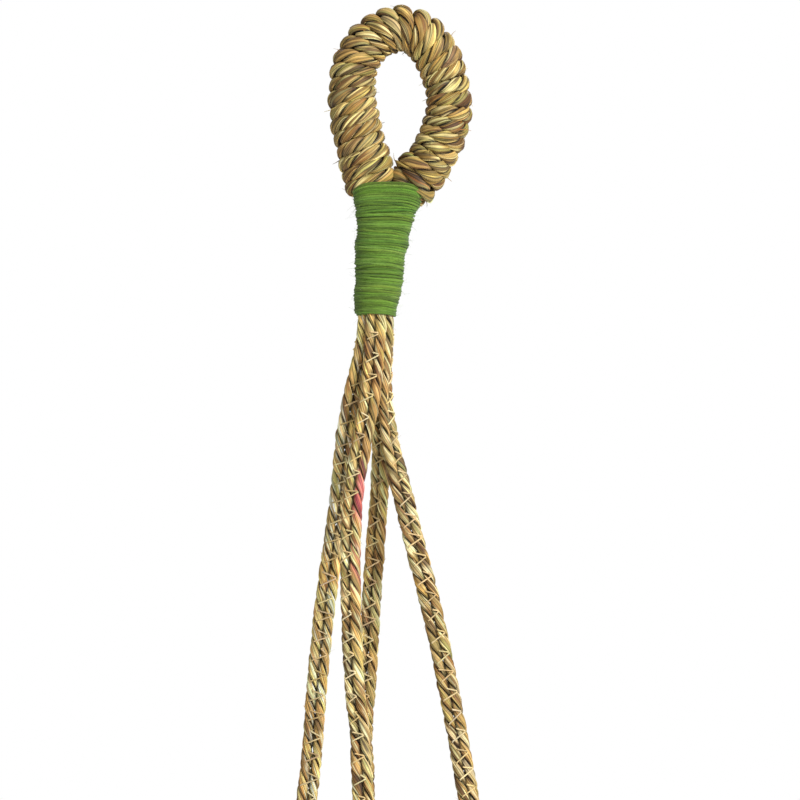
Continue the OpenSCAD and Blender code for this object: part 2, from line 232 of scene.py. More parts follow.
def pick(rng, palette, n):
    colours = np.array([c for c, _ in palette])
    weight = np.array([w for _, w in palette], float)
    base = colours[rng.choice(len(colours), n, p=weight / weight.sum())]
    return np.clip(base * (1 + rng.normal(0, 0.07, (n, 1))) + rng.normal(0, 0.012, (n, 3)), 0.02, 0.98)


class Parts:
    """Vertices, faces, corner colours and corner grain coordinates that become one mesh."""

    def __init__(self):
        self.points, self.faces, self.tones, self.grains, self.count = [], [], [], [], 0

    def add(self, points, faces, tones, grains):
        """faces is a list of equal-length index rows; tones and grains have a row for each corner."""
        self.points.append(points)
        self.faces.append(np.asarray(faces) + self.count)
        self.tones.append(np.asarray(tones).reshape(-1, 3))
        self.grains.append(np.asarray(grains).reshape(-1, 3))
        self.count += len(points)

    def mesh(self, name, material):
        points = np.concatenate(self.points) * MM
        sizes = np.concatenate([np.full(len(f), f.shape[1]) for f in self.faces])
        corners = np.concatenate([f.ravel() for f in self.faces])
        mesh = bpy.data.meshes.new(name)
        mesh.vertices.add(len(points))
        mesh.vertices.foreach_set("co", points.astype(np.float32).ravel())
        mesh.loops.add(len(corners))
        mesh.loops.foreach_set("vertex_index", corners.astype(np.int32))
        mesh.polygons.add(len(sizes))
        starts = np.concatenate([[0], np.cumsum(sizes)[:-1]])
        mesh.polygons.foreach_set("loop_start", starts.astype(np.int32))
        mesh.update(calc_edges=True)
        mesh.polygons.foreach_set("use_smooth", np.ones(len(sizes), bool))
        tone = mesh.color_attributes.new("tone", "FLOAT_COLOR", "CORNER")
        rgba = np.ones((len(corners), 4), np.float32)
        rgba[:, :3] = linear(np.concatenate(self.tones))
        tone.data.foreach_set("color", rgba.ravel())
        grain = mesh.attributes.new("grain", "FLOAT_VECTOR", "CORNER")
        grain.data.foreach_set("vector", np.concatenate(self.grains).astype(np.float32).ravel())
        mesh.validate()
        mesh.materials.append(material)
        piece = bpy.data.objects.new(name, mesh)
        scene.collection.objects.link(piece)
        return piece


def tube_faces(rings, sides):
    """Quads of a tube, ordered so that they face outwards, and the side that each is on."""
    i, k = np.meshgrid(np.arange(rings - 1), np.arange(sides), indexing="ij")
    a, b = i * sides + k, i * sides + (k + 1) % sides
    return np.stack([a, b, b + sides, a + sides], axis=-1).reshape(-1, 4), k.ravel()


def capped(parts, points, rings, sides, tone, grain):
    """Closes the two ends of a tube with a fan to each end's middle."""
    grid = points.reshape(rings, sides, 3)
    ends = np.concatenate([grid[0], grid[0].mean(0)[None], grid[-1], grid[-1].mean(0)[None]])
    k = np.arange(sides)
    n = (k + 1) % sides
    faces = np.concatenate([np.stack([n, k, np.full(sides, sides)], 1),
                            np.stack([k, n, np.full(sides, sides)], 1) + sides + 1])
    parts.add(ends, faces, np.tile(tone, (len(faces) * 3, 1)), np.tile(grain, (len(faces) * 3, 1)))


def fibre(parts, start, way, out, long, radius, curl, tone, rng, lift=0.55):
    """One loose hair of grass or yarn, from start, first along way and bending towards out."""
    n = 7
    t = np.linspace(0, 1, n)[:, None]
    side = unit(np.cross(way, out))
    line = start + long * (way * t + out * (lift * t ** 2) + side * curl * t ** 2)
    _, u, v = frames_along(line, side)
    angle = np.arange(3) * 2 * math.pi / 3
    width = radius * (1 - 0.75 * t[:, :, None])
    ring = line[:, None] + width * (np.cos(angle)[None, :, None] * u[:, None]
                                    + np.sin(angle)[None, :, None] * v[:, None])
    points = ring.reshape(-1, 3)
    faces, _ = tube_faces(n, 3)
    grain = np.array([0.0, 0.0, rng.random() * 50])
    parts.add(points, faces, np.tile(tone, (len(faces) * 4, 1)), np.tile(grain, (len(faces) * 4, 1)))
    capped(parts, points, n, 3, tone, grain)


def colour_runs(rng, s, palette, shortest, longest, soft, tint=None, line=None):
    """A colour for each of the lengths s: runs of one colour, each passing into the next over soft rows."""
    colour = np.empty((len(s), 3))
    at = -rng.uniform(0, longest)
    while at <= s[-1]:
        long = rng.uniform(shortest, longest)
        rows = (s >= at) & (s < at + long)
        dyed = tint is not None and rows.any() and rng.random() < tint(line[rows].mean(0)[None])[0]
        colour[rows] = pick(rng, PINK if dyed else palette, 1)[0] * rng.uniform(0.8, 1.18)
        at += long
    padded = np.pad(colour, ((soft, soft), (0, 0)), mode="edge")
    window = np.ones(2 * soft + 1) / (2 * soft + 1)
    return np.stack([np.convolve(padded[:, c], window, mode="valid") for c in range(3)], 1)


def grass_cord(parts, line, rng, radius=CORD_R, pitch=17, step=STEP, blades=10, palette=GRASS, tint=None,
               reference=(0.0, 1.0, 0.0), place=None, loose=0.0, reach=4.2, uneven=0.05, phase=None,
               beside=None):
    """A left-laid cord of two plies of grass blades along line.

    tint(points) gives the share of blades that are dyed at those points. place maps points given as
    (centre row, offset) to the final shape, for a cord that is wound round something. phase is how far
    its plies are turned at its start. beside is the line of the cord that it is sewn to; the side that
    faces it is painted darker, a painted shade where the two cords meet.
    """
    line = spaced(line, step)
    n = len(line)
    _, u, v = frames_along(line, np.array(reference))
    s = np.arange(n) * step
    turn = rng.random() * 2 * math.pi if phase is None else phase
    turn = turn - 2 * math.pi / pitch * s + slow_noise(rng, n, 22, 0.3 if phase is None else 0.12)
    thick = 1 + slow_noise(rng, n, 16, 0.045)
    k = radius / CORD_R
    grids = []
    for ply in (0, 1):
        ply_turn = turn + ply * math.pi
        out = np.cos(ply_turn)[:, None] * u + np.sin(ply_turn)[:, None] * v
        side = -np.sin(ply_turn)[:, None] * u + np.cos(ply_turn)[:, None] * v
        # share of the way round the ply at which each blade starts, and how the blades drift round it
        widths = rng.uniform(0.5, 1.7, blades)
        widths = widths / widths.sum()
        edges = np.cumsum(widths) - widths
        columns = 3 * blades
        share = np.stack([edges, edges + 0.3 * widths, edges + 0.72 * widths], 1).ravel()
        drift = 0.6 * 2 * math.pi / pitch * s + slow_noise(rng, n, 30, 0.35)
        angle = 2 * math.pi * share[None, :] + drift[:, None]
        height = np.empty((n, columns))
        depth = rng.uniform(0.02, 0.13, blades)
        for b in range(blades):
            lift = slow_noise(rng, n, rng.uniform(6, 14), 0.085) + rng.normal(0, 0.025)
            lean = slow_noise(rng, n, 12, 0.05)
            height[:, 3 * b] = -depth[b]
            height[:, 3 * b + 1] = 0.02 + lift + lean
            height[:, 3 * b + 2] = 0.02 + lift - lean
        scale = (1 + height) * thick[:, None] * (1 + slow_noise(rng, n, 11, uneven))[:, None]
        across = (1.02 + 1.26 * np.cos(angle) * scale) * k
        aside = (1.92 * np.sin(angle) * scale) * k
        offset = across[:, :, None] * out[:, None] + aside[:, :, None] * side[:, None]
        points = (line[:, None] + offset) if place is None else place(line, offset)
        points = points.reshape(-1, 3)
        faces, column = tube_faces(n, columns)

        # a ply has one main colour for a while, and each of its blades keeps near that
        main = colour_runs(rng, s, palette, 9, 26, max(1, int(2.4 / step)), tint, line)
        own = [colour_runs(rng, s, palette, 4, 18, max(1, int(1.2 / step)), tint, line)
               for _ in range(blades)]
        tones = np.clip(0.32 * main[:, None] + 0.68 * np.stack(own, 1), 0, 0.97)
        fresh = rng.uniform(0, 60, blades)
        blade = column // 3
        corner_column = faces % columns
        corner_ring = faces // columns
        tone = tones[corner_ring, blade[:, None]]
        # painted shade: grooves between the blades are darker, and so is the side that faces the other ply
        groove_shade = np.where(corner_column % 3 == 0, 1 - 4.8 * depth[corner_column // 3], 1.0)
        inward = np.cos(angle)[corner_ring, corner_column]
        deep = np.clip((inward + 0.85) / 0.6, 0, 1)
        tone = tone * (groove_shade * (0.17 + 0.83 * deep * deep * (3 - 2 * deep)))[:, :, None]
        # painted shade: the side facing the cord sewn beside it is darker, where the cords shade each other
        if beside is not None:
            other = beside[np.minimum(np.arange(n), len(beside) - 1)] - line
            near = np.linalg.norm(other, axis=1) < 2.3 * radius
            facing = np.einsum("ijk,ik->ij", unit(points.reshape(n, columns, 3) - line[:, None]), unit(other))
            crease_shade = 1 - 0.52 * near[:, None] * np.clip((facing - 0.56) / 0.4, 0, 1)
            tone = tone * crease_shade[corner_ring, corner_column][:, :, None]
        girth = 2 * math.pi * 1.6 * k
        wide = share[corner_column] * girth
        wide = np.where((column[:, None] == columns - 1) & (corner_column == 0), girth, wide)
        grain = np.stack([wide, corner_ring * step, np.repeat(fresh[blade][:, None], 4, axis=1)], -1)
        parts.add(points, faces, tone.reshape(-1, 3), grain.reshape(-1, 3))
        capped(parts, points, n, columns, np.array([0.42, 0.33, 0.19]), np.zeros(3))
        grids.append((points.reshape(n, columns, 3), tones))
    for kind, many in (("hair", loose), ("sliver", 4 * loose)):
        for _ in range(int(many * s[-1] / 100)):
            grid, tones = grids[int(rng.integers(2))]
            i, j = int(rng.integers(9, n - 12)), int(rng.integers(grid.shape[1]))
            start = grid[i, j]
            out = unit(start - (grid[i].mean(0) if place is not None else line[i]))
            along = unit(grid[i + 3, j] - start) * rng.choice([-1, 1])
            if kind == "hair":
                way, long, width = unit(along + 0.3 * out), rng.uniform(1.0, 3.2), rng.uniform(0.05, 0.1)
                lift, tone = 0.55, pick(rng, palette, 1)[0] * rng.uniform(0.75, 1.1)
            else:
                way, long, width = unit(along + 0.09 * out), rng.uniform(2.5, 6.0), rng.uniform(0.16, 0.32)
                lift, tone = 0.12, np.clip(tones[i, j // 3] * rng.uniform(0.75, 1.35), 0, 0.96)
            if place is None:
                long = min(long, (reach - np.linalg.norm(start - line[i])) / 1.05)
            fibre(parts, start, way, out, long, width, rng.uniform(-0.4, 0.4), tone, rng, lift)


def strand(parts, line, radius, rng, palette, twist=2.6, sides=9, step=None):
    """A spun yarn or thread along line: three plies show as three ridges that turn round it."""
    line = spaced(line, step or radius * 1.5)
    n = len(line)
    _, u, v = frames_along(line, np.array([0.13, 0.21, 0.97]))
    s = lengths(line)
    angle = 2 * math.pi * np.arange(sides) / sides
    spin = 2 * math.pi * s / twist
    ridge = 1 + 0.13 * np.cos(3 * (angle[None, :] - spin[:, None])) + slow_noise(rng, n, 9, 0.05)[:, None]
    ring = np.cos(angle)[None, :, None] * u[:, None] + np.sin(angle)[None, :, None] * v[:, None]
    points = (line[:, None] + radius * ridge[:, :, None] * ring).reshape(-1, 3)
    faces, column = tube_faces(n, sides)
    knots = pick(rng, palette, int(s[-1] / 22) + 3)
    x = s / 22
    i = x.astype(int)
    colour = knots[i] * (1 - (x - i))[:, None] + knots[i + 1] * (x - i)[:, None]
    # painted shade: the valleys between the ridges are darker than the crests
    low = 0.80 + 0.20 * (ridge - ridge.min()) / (ridge.max() - ridge.min())
    rings, columns = faces // sides, faces % sides
    tone = colour[rings] * low[rings, columns][:, :, None]
    wide = np.where((column[:, None] == sides - 1) & (columns == 0), sides, columns)
    wide = wide * 2 * math.pi * radius / sides
    along = s[rings]
    grain = np.stack([wide + along * 1.1, along, np.zeros_like(along) + rng.random() * 90], -1)
    parts.add(points, faces, tone.reshape(-1, 3), grain.reshape(-1, 3))
    capped(parts, points, n, sides, colour[0], np.zeros(3))
    return points.reshape(n, sides, 3)


def wound(shape, top, height, pitch, rng, tilt=0.35, lump=0.12, axes=None, per_turn=44):
    """Centre line of yarn wound down from the point top.

    shape(turn, down) gives the yarn's place at a share of a turn and a depth: its two offsets from the
    outline's centre, that centre, and how far it dips. lump is how unevenly the turns lie.
    """
    turns = height / pitch
    n = int(turns * per_turn)
    t = np.linspace(0, turns, n)
    lean, where = slow_noise(rng, n, per_turn * 4.3, tilt), slow_noise(rng, n, per_turn * 6.1, 0.6)
    down = height * t / turns
    wave = lean * np.cos(2 * math.pi * (t - where))
    fade = np.clip(np.minimum(down, height - down) / (3 * pitch), 0.15, 1)
    down = np.clip(down + wave * fade, 0, height)
    a, b, centre, dip = shape(t % 1, down)
    grow = slow_noise(rng, n, per_turn * 0.37, lump) + slow_noise(rng, n, per_turn * 4.6, 1.6 * lump)
    # both ends are tucked in under their neighbours
    tuck = 0.9 * np.clip(1 - np.minimum(t, turns - t) / 0.3, 0, 1)
    grow = 1 + (grow - tuck) / np.maximum(np.hypot(a, b), 1)
    e1, e2, e3 = np.eye(3) if axes is None else axes
    return (np.array(top, float) + (centre + a * grow)[:, None] * e1 + (b * grow)[:, None] * e2
            - (down + dip)[:, None] * e3)


def fuzz(parts, grid, count, rng, palette, long=(1.5, 4), radius=0.05):
    """Short loose hairs that stand off a yarn's surface."""
    n, sides, _ = grid.shape
    for _ in range(count):
        i, j = int(rng.integers(2, n - 3)), int(rng.integers(sides))
        out = unit(grid[i, j] - grid[i].mean(0))
        along = unit(grid[i + 1, j] - grid[i, j]) * rng.choice([-1, 1])
        way = unit(along + 0.5 * out + rng.normal(0, 0.3, 3))
        fibre(parts, grid[i, j], way, out, rng.uniform(*long), radius, rng.normal(0, 0.5),
              pick(rng, palette, 1)[0] * 1.08, rng)


# ------------------------------------------------------------------------------------------------ materials


def node_material(name, roughness, sheen, bump, build):
    m = bpy.data.materials.new(name)
    m.use_nodes = True
    nodes, links = m.node_tree.nodes, m.node_tree.links
    shader = nodes["Principled BSDF"]
    shader.inputs["Specular IOR Level"].default_value = 0.3
    shader.inputs["Sheen Weight"].default_value = sheen
    shader.inputs["Sheen Roughness"].default_value = 0.5
    build(nodes, links, shader, roughness, bump)
    return m


def node(nodes, kind, **values):
    made = nodes.new(kind)
    for key, value in values.items():
        setattr(made, key, value)
    return made


def fibrous(scale, dark, light, stretch):
    """Colour from the blade or strand, broken up by fine lines that run along it."""

    def build(nodes, links, shader, roughness, bump):
        tone = node(nodes, "ShaderNodeAttribute", attribute_name="tone")
        grain = node(nodes, "ShaderNodeAttribute", attribute_name="grain")
        stretched = node(nodes, "ShaderNodeVectorMath", operation="MULTIPLY")
        stretched.inputs[1].default_value = (1.0, stretch, 1.0)
        links.new(grain.outputs["Vector"], stretched.inputs[0])
        lines = node(nodes, "ShaderNodeTexNoise")
        lines.inputs["Scale"].default_value = scale
        lines.inputs["Detail"].default_value = 3
        lines.inputs["Roughness"].default_value = 0.6
        links.new(stretched.outputs["Vector"], lines.inputs["Vector"])
        blotch = node(nodes, "ShaderNodeTexNoise")
        blotch.inputs["Scale"].default_value = 0.22
        blotch.inputs["Detail"].default_value = 2
        links.new(grain.outputs["Vector"], blotch.inputs["Vector"])
        ramp = node(nodes, "ShaderNodeMapRange")
        ramp.inputs["From Min"].default_value, ramp.inputs["From Max"].default_value = 0.3, 0.7
        ramp.inputs["To Min"].default_value, ramp.inputs["To Max"].default_value = dark, light
        links.new(lines.outputs["Fac"], ramp.inputs["Value"])
        patches = node(nodes, "ShaderNodeMapRange")
        patches.inputs["From Min"].default_value, patches.inputs["From Max"].default_value = 0.3, 0.7
        patches.inputs["To Min"].default_value, patches.inputs["To Max"].default_value = 0.86, 1.12
        links.new(blotch.outputs["Fac"], patches.inputs["Value"])
        both = node(nodes, "ShaderNodeMath", operation="MULTIPLY")
        links.new(ramp.outputs["Result"], both.inputs[0])
        links.new(patches.outputs["Result"], both.inputs[1])
        colour = node(nodes, "ShaderNodeVectorMath", operation="SCALE")
        links.new(tone.outputs["Color"], colour.inputs[0])
        links.new(both.outputs["Value"], colour.inputs["Scale"])
        links.new(colour.outputs["Vector"], shader.inputs["Base Color"])
        rough = node(nodes, "ShaderNodeMapRange")
        rough.inputs["To Min"].default_value = roughness - 0.12
        rough.inputs["To Max"].default_value = roughness + 0.14
        links.new(lines.outputs["Fac"], rough.inputs["Value"])
        links.new(rough.outputs["Result"], shader.inputs["Roughness"])
        relief = node(nodes, "ShaderNodeBump")
        relief.inputs["Strength"].default_value = bump
        relief.inputs["Distance"].default_value = 0.0002
        links.new(lines.outputs["Fac"], relief.inputs["Height"])
        links.new(relief.outputs["Normal"], shader.inputs["Normal"])

    return build


grass_material = node_material("seagrass", 0.62, 0.05, 0.55, fibrous(2.4, 0.60, 1.28, 0.08))
yarn_material = node_material("green_yarn", 0.9, 0.1, 0.6, fibrous(4.0, 0.72, 1.2, 0.16))
thread_material = node_material("sewing_thread", 0.7, 0.2, 0.5, fibrous(5.0, 0.8, 1.12, 0.25))

# ----------------------------------------------------------------------------- hanging loop and its wrapping

core = spaced(smooth([[x, 0, z] for x, z in LEFT_ARM + LOOP + RIGHT_ARM]), 0.5)
core_s = lengths(core)
core_t = unit(np.gradient(core, axis=0))
core_heading = np.unwrap(np.arctan2(core_t[:, 2], core_t[:, 0]))
core_heading = np.convolve(np.pad(core_heading, 10, mode="edge"), np.ones(21) / 21, mode="valid")
core_bend = np.gradient(core_heading, core_s)
WRAP_END_Z = -62.5
in_wrap = np.flatnonzero(core[:, 2] > WRAP_END_Z)
wrap_start, wrap_end = core_s[in_wrap[0]], core_s[in_wrap[-1]]
# how far the inner side of a turn runs ahead of its outer side, in degrees, by share of the wrapping
SKEW = [[0, 2], [0.25, 4], [0.45, 8], [0.6, 4], [0.75, -6], [0.9, -15], [1, -18]]
# how far the wrapping bulges into the eye, by share of the wrapping
SWELL = [[0, 1.46], [0.035, 1.42], [0.07, 1.32], [0.11, 1.2], [0.18, 1.12], [0.27, 1.05], [0.4, 1], [0.8, 1],
         [0.87, 1.02], [0.91, 1.06], [0.94, 1.2], [0.96, 1.42], [0.985, 1.45], [1, 1.25]]


def round_core(line, offset):
    """From (towards the eye, back, along the core) to the frame. A turn is pressed flat against the core,
    squeezed on the inside of the bend and hardly stretched on its outside."""
    ring = np.hypot(line[:, 0], line[:, 1])
    radial = (offset[:, :, 0] * line[:, None, 0] + offset[:, :, 1] * line[:, None, 1]) / ring[:, None]
    flat = 1 - 0.14 * radial / ring[:, None]
    w = (line[:, None, 0] + offset[:, :, 0]) * flat
    q = (line[:, None, 1] + offset[:, :, 1]) * flat
    s = np.broadcast_to(line[:, None, 2], w.shape)
    stretch = 1 + np.interp(s, core_s, core_bend) * w
    s = s + 1.1 * offset[:, :, 2] * np.clip(stretch, 0.62, 1.16) / np.maximum(stretch, 0.2)
    share = (s - wrap_start) / (wrap_end - wrap_start)
    s = s + w * np.tan(np.radians(np.interp(share, *np.array(SKEW).T)))
    w = np.where(w > 0, w * np.interp(share, *np.array(SWELL).T), w)
    x, z, h = (np.interp(s, core_s, c) for c in (core[:, 0], core[:, 2], core_heading))
    return np.stack([x + w * np.sin(h), q, z - w * np.cos(h)], -1)


TURNS = 31
rng = rng_of(7)
n = TURNS * 60
turn = np.linspace(0, TURNS, n)
along = wrap_start + (wrap_end - wrap_start) * turn / TURNS + slow_noise(rng, n, 50, 0.25)
ease = np.clip(np.minimum(along - wrap_start, wrap_end - along) / 13, 0, 1)
ease = ease * ease * (3 - 2 * ease)
rho = slow_noise(rng, n, 23, 0.16)
helix = np.stack([-(7.4 + 0.9 * ease + rho) * np.cos(2 * math.pi * (turn + 0.5)),
                  -(4.6 + 3.7 * ease + rho) * np.sin(2 * math.pi * (turn + 0.5)), along], 1)
parts = Parts()
grass_cord(parts, helix, rng, radius=2.8, pitch=16, step=0.95, blades=12, palette=WRAPPING,
           reference=(0, 0, 1), place=round_core, loose=3, uneven=0.09)
wrapping = parts.mesh("loop_wrapping", grass_material)
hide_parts("loop_wrap")
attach(wrapping, "head")

# from the core's middle line to its cords' middles, inside the loop
CORE_OFFSET = 2.35
for number, (out, back) in enumerate(((1, -1), (1, 1), (-1, -1), (-1, 1))):
    spread = np.clip((-60 - core[:, 2]) / 45, 0, 1)
    ring = HALF_EIGHTH if out > 0 else 3 * HALF_EIGHTH
    apart = (BUNDLE_R * (math.cos(math.radians(HALF_EIGHTH)) - math.cos(math.radians(3 * HALF_EIGHTH)))
             / 2)
    across = CORE_OFFSET + (apart - CORE_OFFSET) * spread
    depth = CORE_OFFSET + (BUNDLE_R * math.sin(math.radians(ring)) - CORE_OFFSET) * spread
    outward = np.cross(core_t, [0.0, 1.0, 0.0])
    line = core + out * across[:, None] * outward + back * depth[:, None] * np.array([0, 1.0, 0])
    line = line[core[:, 2] > CORE_END_Z + 2]
    parts = Parts()
    grass_cord(parts, line, rng_of(20 + number), radius=2.1, step=1.6, blades=5)
    piece = parts.mesh(f"core_cord_{number + 1}_twisted", grass_material)
    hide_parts(f"core_cord_{number + 1}")
    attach(piece, "head")

# -------------------------------------------------------------------------------------------- top binding

YARN_R = 0.62
LOOSE_YARN_R = YARN_R * 0.9
sections = np.array(TOP_BINDING)
BIND_TOP, BIND_END = -58.2, -118.8


def resized(shape, share, lower=0):
    """An outline a share as wide as shape, taken from a little lower down it."""

    def outline(turn, down):
        a, b, centre, dip = shape(turn, down + lower)
        return a * share, b * share, centre, dip

    return outline


def top_shape(turn, down):
    z = BIND_TOP - down
    centre, wide, deep = (np.interp(-z, -sections[:, 0], sections[:, k]) for k in (1, 2, 3))
    angle = 2 * math.pi * turn
    c, d = np.cos(angle), np.sin(angle)
    near = np.clip(down / 20, 0, 1)
    dip = 3.6 * c * c * (1 - near) ** 1.5 + 0.9 * np.maximum(c, 0) ** 2 * near
    power = 2 / np.interp(down, (4, 34), (3.6, 2.1))
    return ((wide - YARN_R) * np.sign(c) * np.abs(c) ** power,
            (deep - YARN_R) * np.sign(d) * np.abs(d) ** power, centre, dip)


rng = rng_of(40)
parts = Parts()
line = wound(resized(top_shape, 0.955), (0, 0, BIND_TOP - 0.5), BIND_TOP - BIND_END - 2, 0.95, rng, tilt=0,
             lump=0.02)
strand(parts, line, YARN_R, rng, GREENS)
line = wound(top_shape, (0, 0, BIND_TOP), BIND_TOP - BIND_END - 1, 1.0, rng, tilt=0.7, lump=0.16)
grid = strand(parts, line, YARN_R, rng, GREENS)
fuzz(parts, grid, 420, rng, GREENS)
line = wound(resized(top_shape, 1.018, 3), (0, 0, BIND_TOP - 3), BIND_TOP - BIND_END - 7, 9, rng, tilt=1.3,
             lump=0.1)
grid = strand(parts, line, LOOSE_YARN_R, rng, GREENS)
fuzz(parts, grid, 60, rng, GREENS)
binding = parts.mesh("top_binding_yarn", yarn_material)
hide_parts("top_binding")
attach(binding, "head")

# ---------------------------------------------------------------------------------------------- leg cords


def pink_share(points):
    """Where the second cord of the front leg has dyed blades."""
    z = points[:, 2]
    return np.where((z < -186) & (z > -211), 0.96, 0) + np.where((z < -224) & (z > -238), 0.6, 0)


LEG_CORD_R = {"front": 2.38, "right": 2.45, "back": 2.3, "left": 2.35}
leg_lines = {}
for number, leg in enumerate(LEGS):
    # the plies of two sewn cords lie in step, which leaves small hollows between them
    phase = rng_of(200 + number).random() * 2 * math.pi
    for side in (-1, 1):
        leg_lines[leg, side] = spaced(smooth(cord_route(leg, side)), STEP)
    for side, letter in ((-1, "a"), (1, "b")):
        name = f"{leg}_cord_{letter}"
        line = leg_lines[leg, side]
        parts = Parts()
        grass_cord(parts, line, rng_of(100 + 2 * number + (side > 0)), radius=LEG_CORD_R[leg], loose=3,
                   palette=LEG_PALETTE[leg], tint=pink_share if name == "front_cord_b" else None,
                   phase=phase, beside=leg_lines[leg, -side])
        piece = parts.mesh(name + "_twisted", grass_material)
        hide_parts(name, "neck_cords")
        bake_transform(piece)

# ---------------------------------------------------------------------------------------------- stitching

THREAD_R = 0.34
STRAW = [((0.88, 0.77, 0.54), 4), ((0.94, 0.86, 0.66), 3), ((0.82, 0.70, 0.46), 2)]
STITCH_PITCH = 9.0
STITCH_TOP_Z, STITCH_END_Z = -126.0, UPPER_Z + 14
# for each leg: from and to across the pair, drop of the first stroke and of the second
STROKES = {"front": (-3.4, 1.3, 0.8, 2.6), "right": (-3.0, 3.2, 0.9, 4.0), "back": (-2.9, 2.9, 1.4, 3.0),
           "left": (-3.2, 3.1, 2.0, 2.2)}


def over_pair(across):
    """How far a thread drawn over the two cords stands off the middle of the pair."""
    on = np.maximum(np.abs(across) - PAIR_HALF, 0)
    return np.sqrt(np.maximum((CORD_R + THREAD_R) ** 2 - on ** 2, 0.2)) - 0.05


for number, leg in enumerate(LEGS):
    first, second = leg_lines[leg, -1], leg_lines[leg, 1]
    low, high, drop, back_drop = STROKES[leg]
    rng = rng_of(60 + number)
    path = []
    z = STITCH_TOP_Z
    while z > STITCH_END_Z:
        for face in (-1, 1):
            a, b = rng.uniform(low, 0.4), high + rng.normal(0, 0.35)
            c = low + rng.normal(0, 0.3)
            d1, d2 = drop + rng.normal(0, 0.35), back_drop + rng.normal(0, 0.4)
            top = z - (0 if face < 0 else STITCH_PITCH / 2) + rng.normal(0, 0.25)
            if face > 0:
                d1, d2 = 1.2, 1.8
            steps = [(a + 0.5, 0.9, 0.1), (a, None, 0)]
            steps += [(a + (b - a) * f, None, -d1 * f) for f in (0.25, 0.5, 0.75, 1)]
            steps += [(b + 0.15, 1.0, -d1 - 0.35), (b, None, -d1 - 0.7)]
            steps += [(b + (c - b) * f, None, -d1 - 0.7 - d2 * f) for f in (0.25, 0.5, 0.75, 1)]
            steps += [(c + 0.5, 0.9, -d1 - d2 - 0.9)]
            path += [(top + dz, across, face * (over_pair(across) if depth is None else depth))
                     for across, depth, dz in steps]
        z -= STITCH_PITCH + rng.normal(0, 0.35)
    path = np.array(path)
    at = path[:, 0]
    p, q, pn, qn = (np.stack([np.interp(-zz, -l[:, 2], l[:, k]) for k in range(3)], 1)
                    for l, zz in ((first, at), (second, at), (first, at - 1), (second, at - 1)))
    side = unit(q - p)
    facing = np.cross(side, unit(pn + qn - p - q))
    points = (p + q) / 2 + path[:, 1:2] * side + path[:, 2:3] * facing
    line = smooth(points, 4)
    parts = Parts()
    strand(parts, line, THREAD_R, rng, STRAW, twist=1.6, sides=6, step=0.45)
    piece = parts.mesh(f"{leg}_thread", thread_material)
    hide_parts(f"{leg}_stitching")
    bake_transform(piece)

# ---------------------------------------------------------------------------------------- lower bindings


def bar_shape(reach):
    """Outline of yarn round two cords side by side."""
    straight, arc = 2 * PAIR_HALF, math.pi * reach
    around = 2 * straight + 2 * arc

    def shape(turn, down):
        x = turn * around
        a, b = np.empty_like(x), np.empty_like(x)
        for low, high, kind in ((0, straight, 0), (straight, straight + arc, 1),
                                (straight + arc, 2 * straight + arc, 2), (2 * straight + arc, around + 1, 3)):
            m = (x >= low) & (x < high)
            f = x[m] - low
            if kind == 0:
                a[m], b[m] = f - PAIR_HALF, -reach
            elif kind == 1:
                a[m], b[m] = PAIR_HALF + reach * np.sin(f / reach), -reach * np.cos(f / reach)
            elif kind == 2:
                a[m], b[m] = PAIR_HALF - f, reach
            else:
                a[m], b[m] = -PAIR_HALF - reach * np.sin(f / reach), reach * np.cos(f / reach)
        return a, b, 0.0, 0.0

    return shape


def pair_binding(name, node, angle, r, top, height, seed):
    rng = rng_of(seed)
    parts = Parts()
    axes = (turned(angle + 90), turned(angle), np.array([0, 0, 1.0]))
    middle = np.array([CRADLE_X, 0, top]) + r * turned(angle)
    line = wound(bar_shape(CORD_R + 0.75), middle, height, 1.0, rng, tilt=0.3, lump=0.12, axes=axes)
    grid = strand(parts, line, YARN_R, rng, GREENS)
    fuzz(parts, grid, 60, rng, GREENS)
    line = wound(bar_shape(CORD_R + 1.15), middle - [0, 0, 2.5], height - 5, 5.0, rng, tilt=1.2,
                 lump=0.12, axes=axes)
    strand(parts, line, LOOSE_YARN_R, rng, GREENS)
    piece = parts.mesh(name, yarn_material)
    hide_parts(node)
    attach(piece, "net")


for number, leg in enumerate(LEGS):
    pair_binding(f"{leg}_upper_binding_yarn", f"{leg}_upper_binding", LEG_ANGLE[leg], UPPER_R, UPPER_Z,
                 UPPER_H, 70 + number)
for number, node_name in enumerate(("front_right_binding", "back_right_binding", "back_left_binding",
                                    "front_left_binding")):
    angle = (315, 45, 135, 225)[number]
    pair_binding(f"{node_name}_yarn", node_name, angle, LOWER_R, CRADLE_Z - LOWER_DROP, LOWER_H, 80 + number)


def bottom_shape(turn, down):
    r = BUNDLE_R + CORD_R + 0.75 + 0.5 * np.sin(math.pi * np.clip(down / BOTTOM_H, 0, 1))
    return r * np.cos(2 * math.pi * turn), r * np.sin(2 * math.pi * turn), 0.0, 0.0


rng = rng_of(90)
parts = Parts()
line = wound(bottom_shape, (CRADLE_X, 0, BOTTOM_Z), BOTTOM_H, 1.0, rng, tilt=0.4, lump=0.14)
grid = strand(parts, line, YARN_R, rng, GREENS)
fuzz(parts, grid, 120, rng, GREENS)
line = wound(resized(bottom_shape, 1.05), (CRADLE_X, 0, BOTTOM_Z - 3), BOTTOM_H - 6, 6.0, rng, tilt=1.8,
             lump=0.15)
strand(parts, line, LOOSE_YARN_R, rng, GREENS)
piece = parts.mesh("bottom_binding_yarn", yarn_material)
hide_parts("bottom_binding")
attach(piece, "net")

# ------------------------------------------------------------------------------------------------- tassel

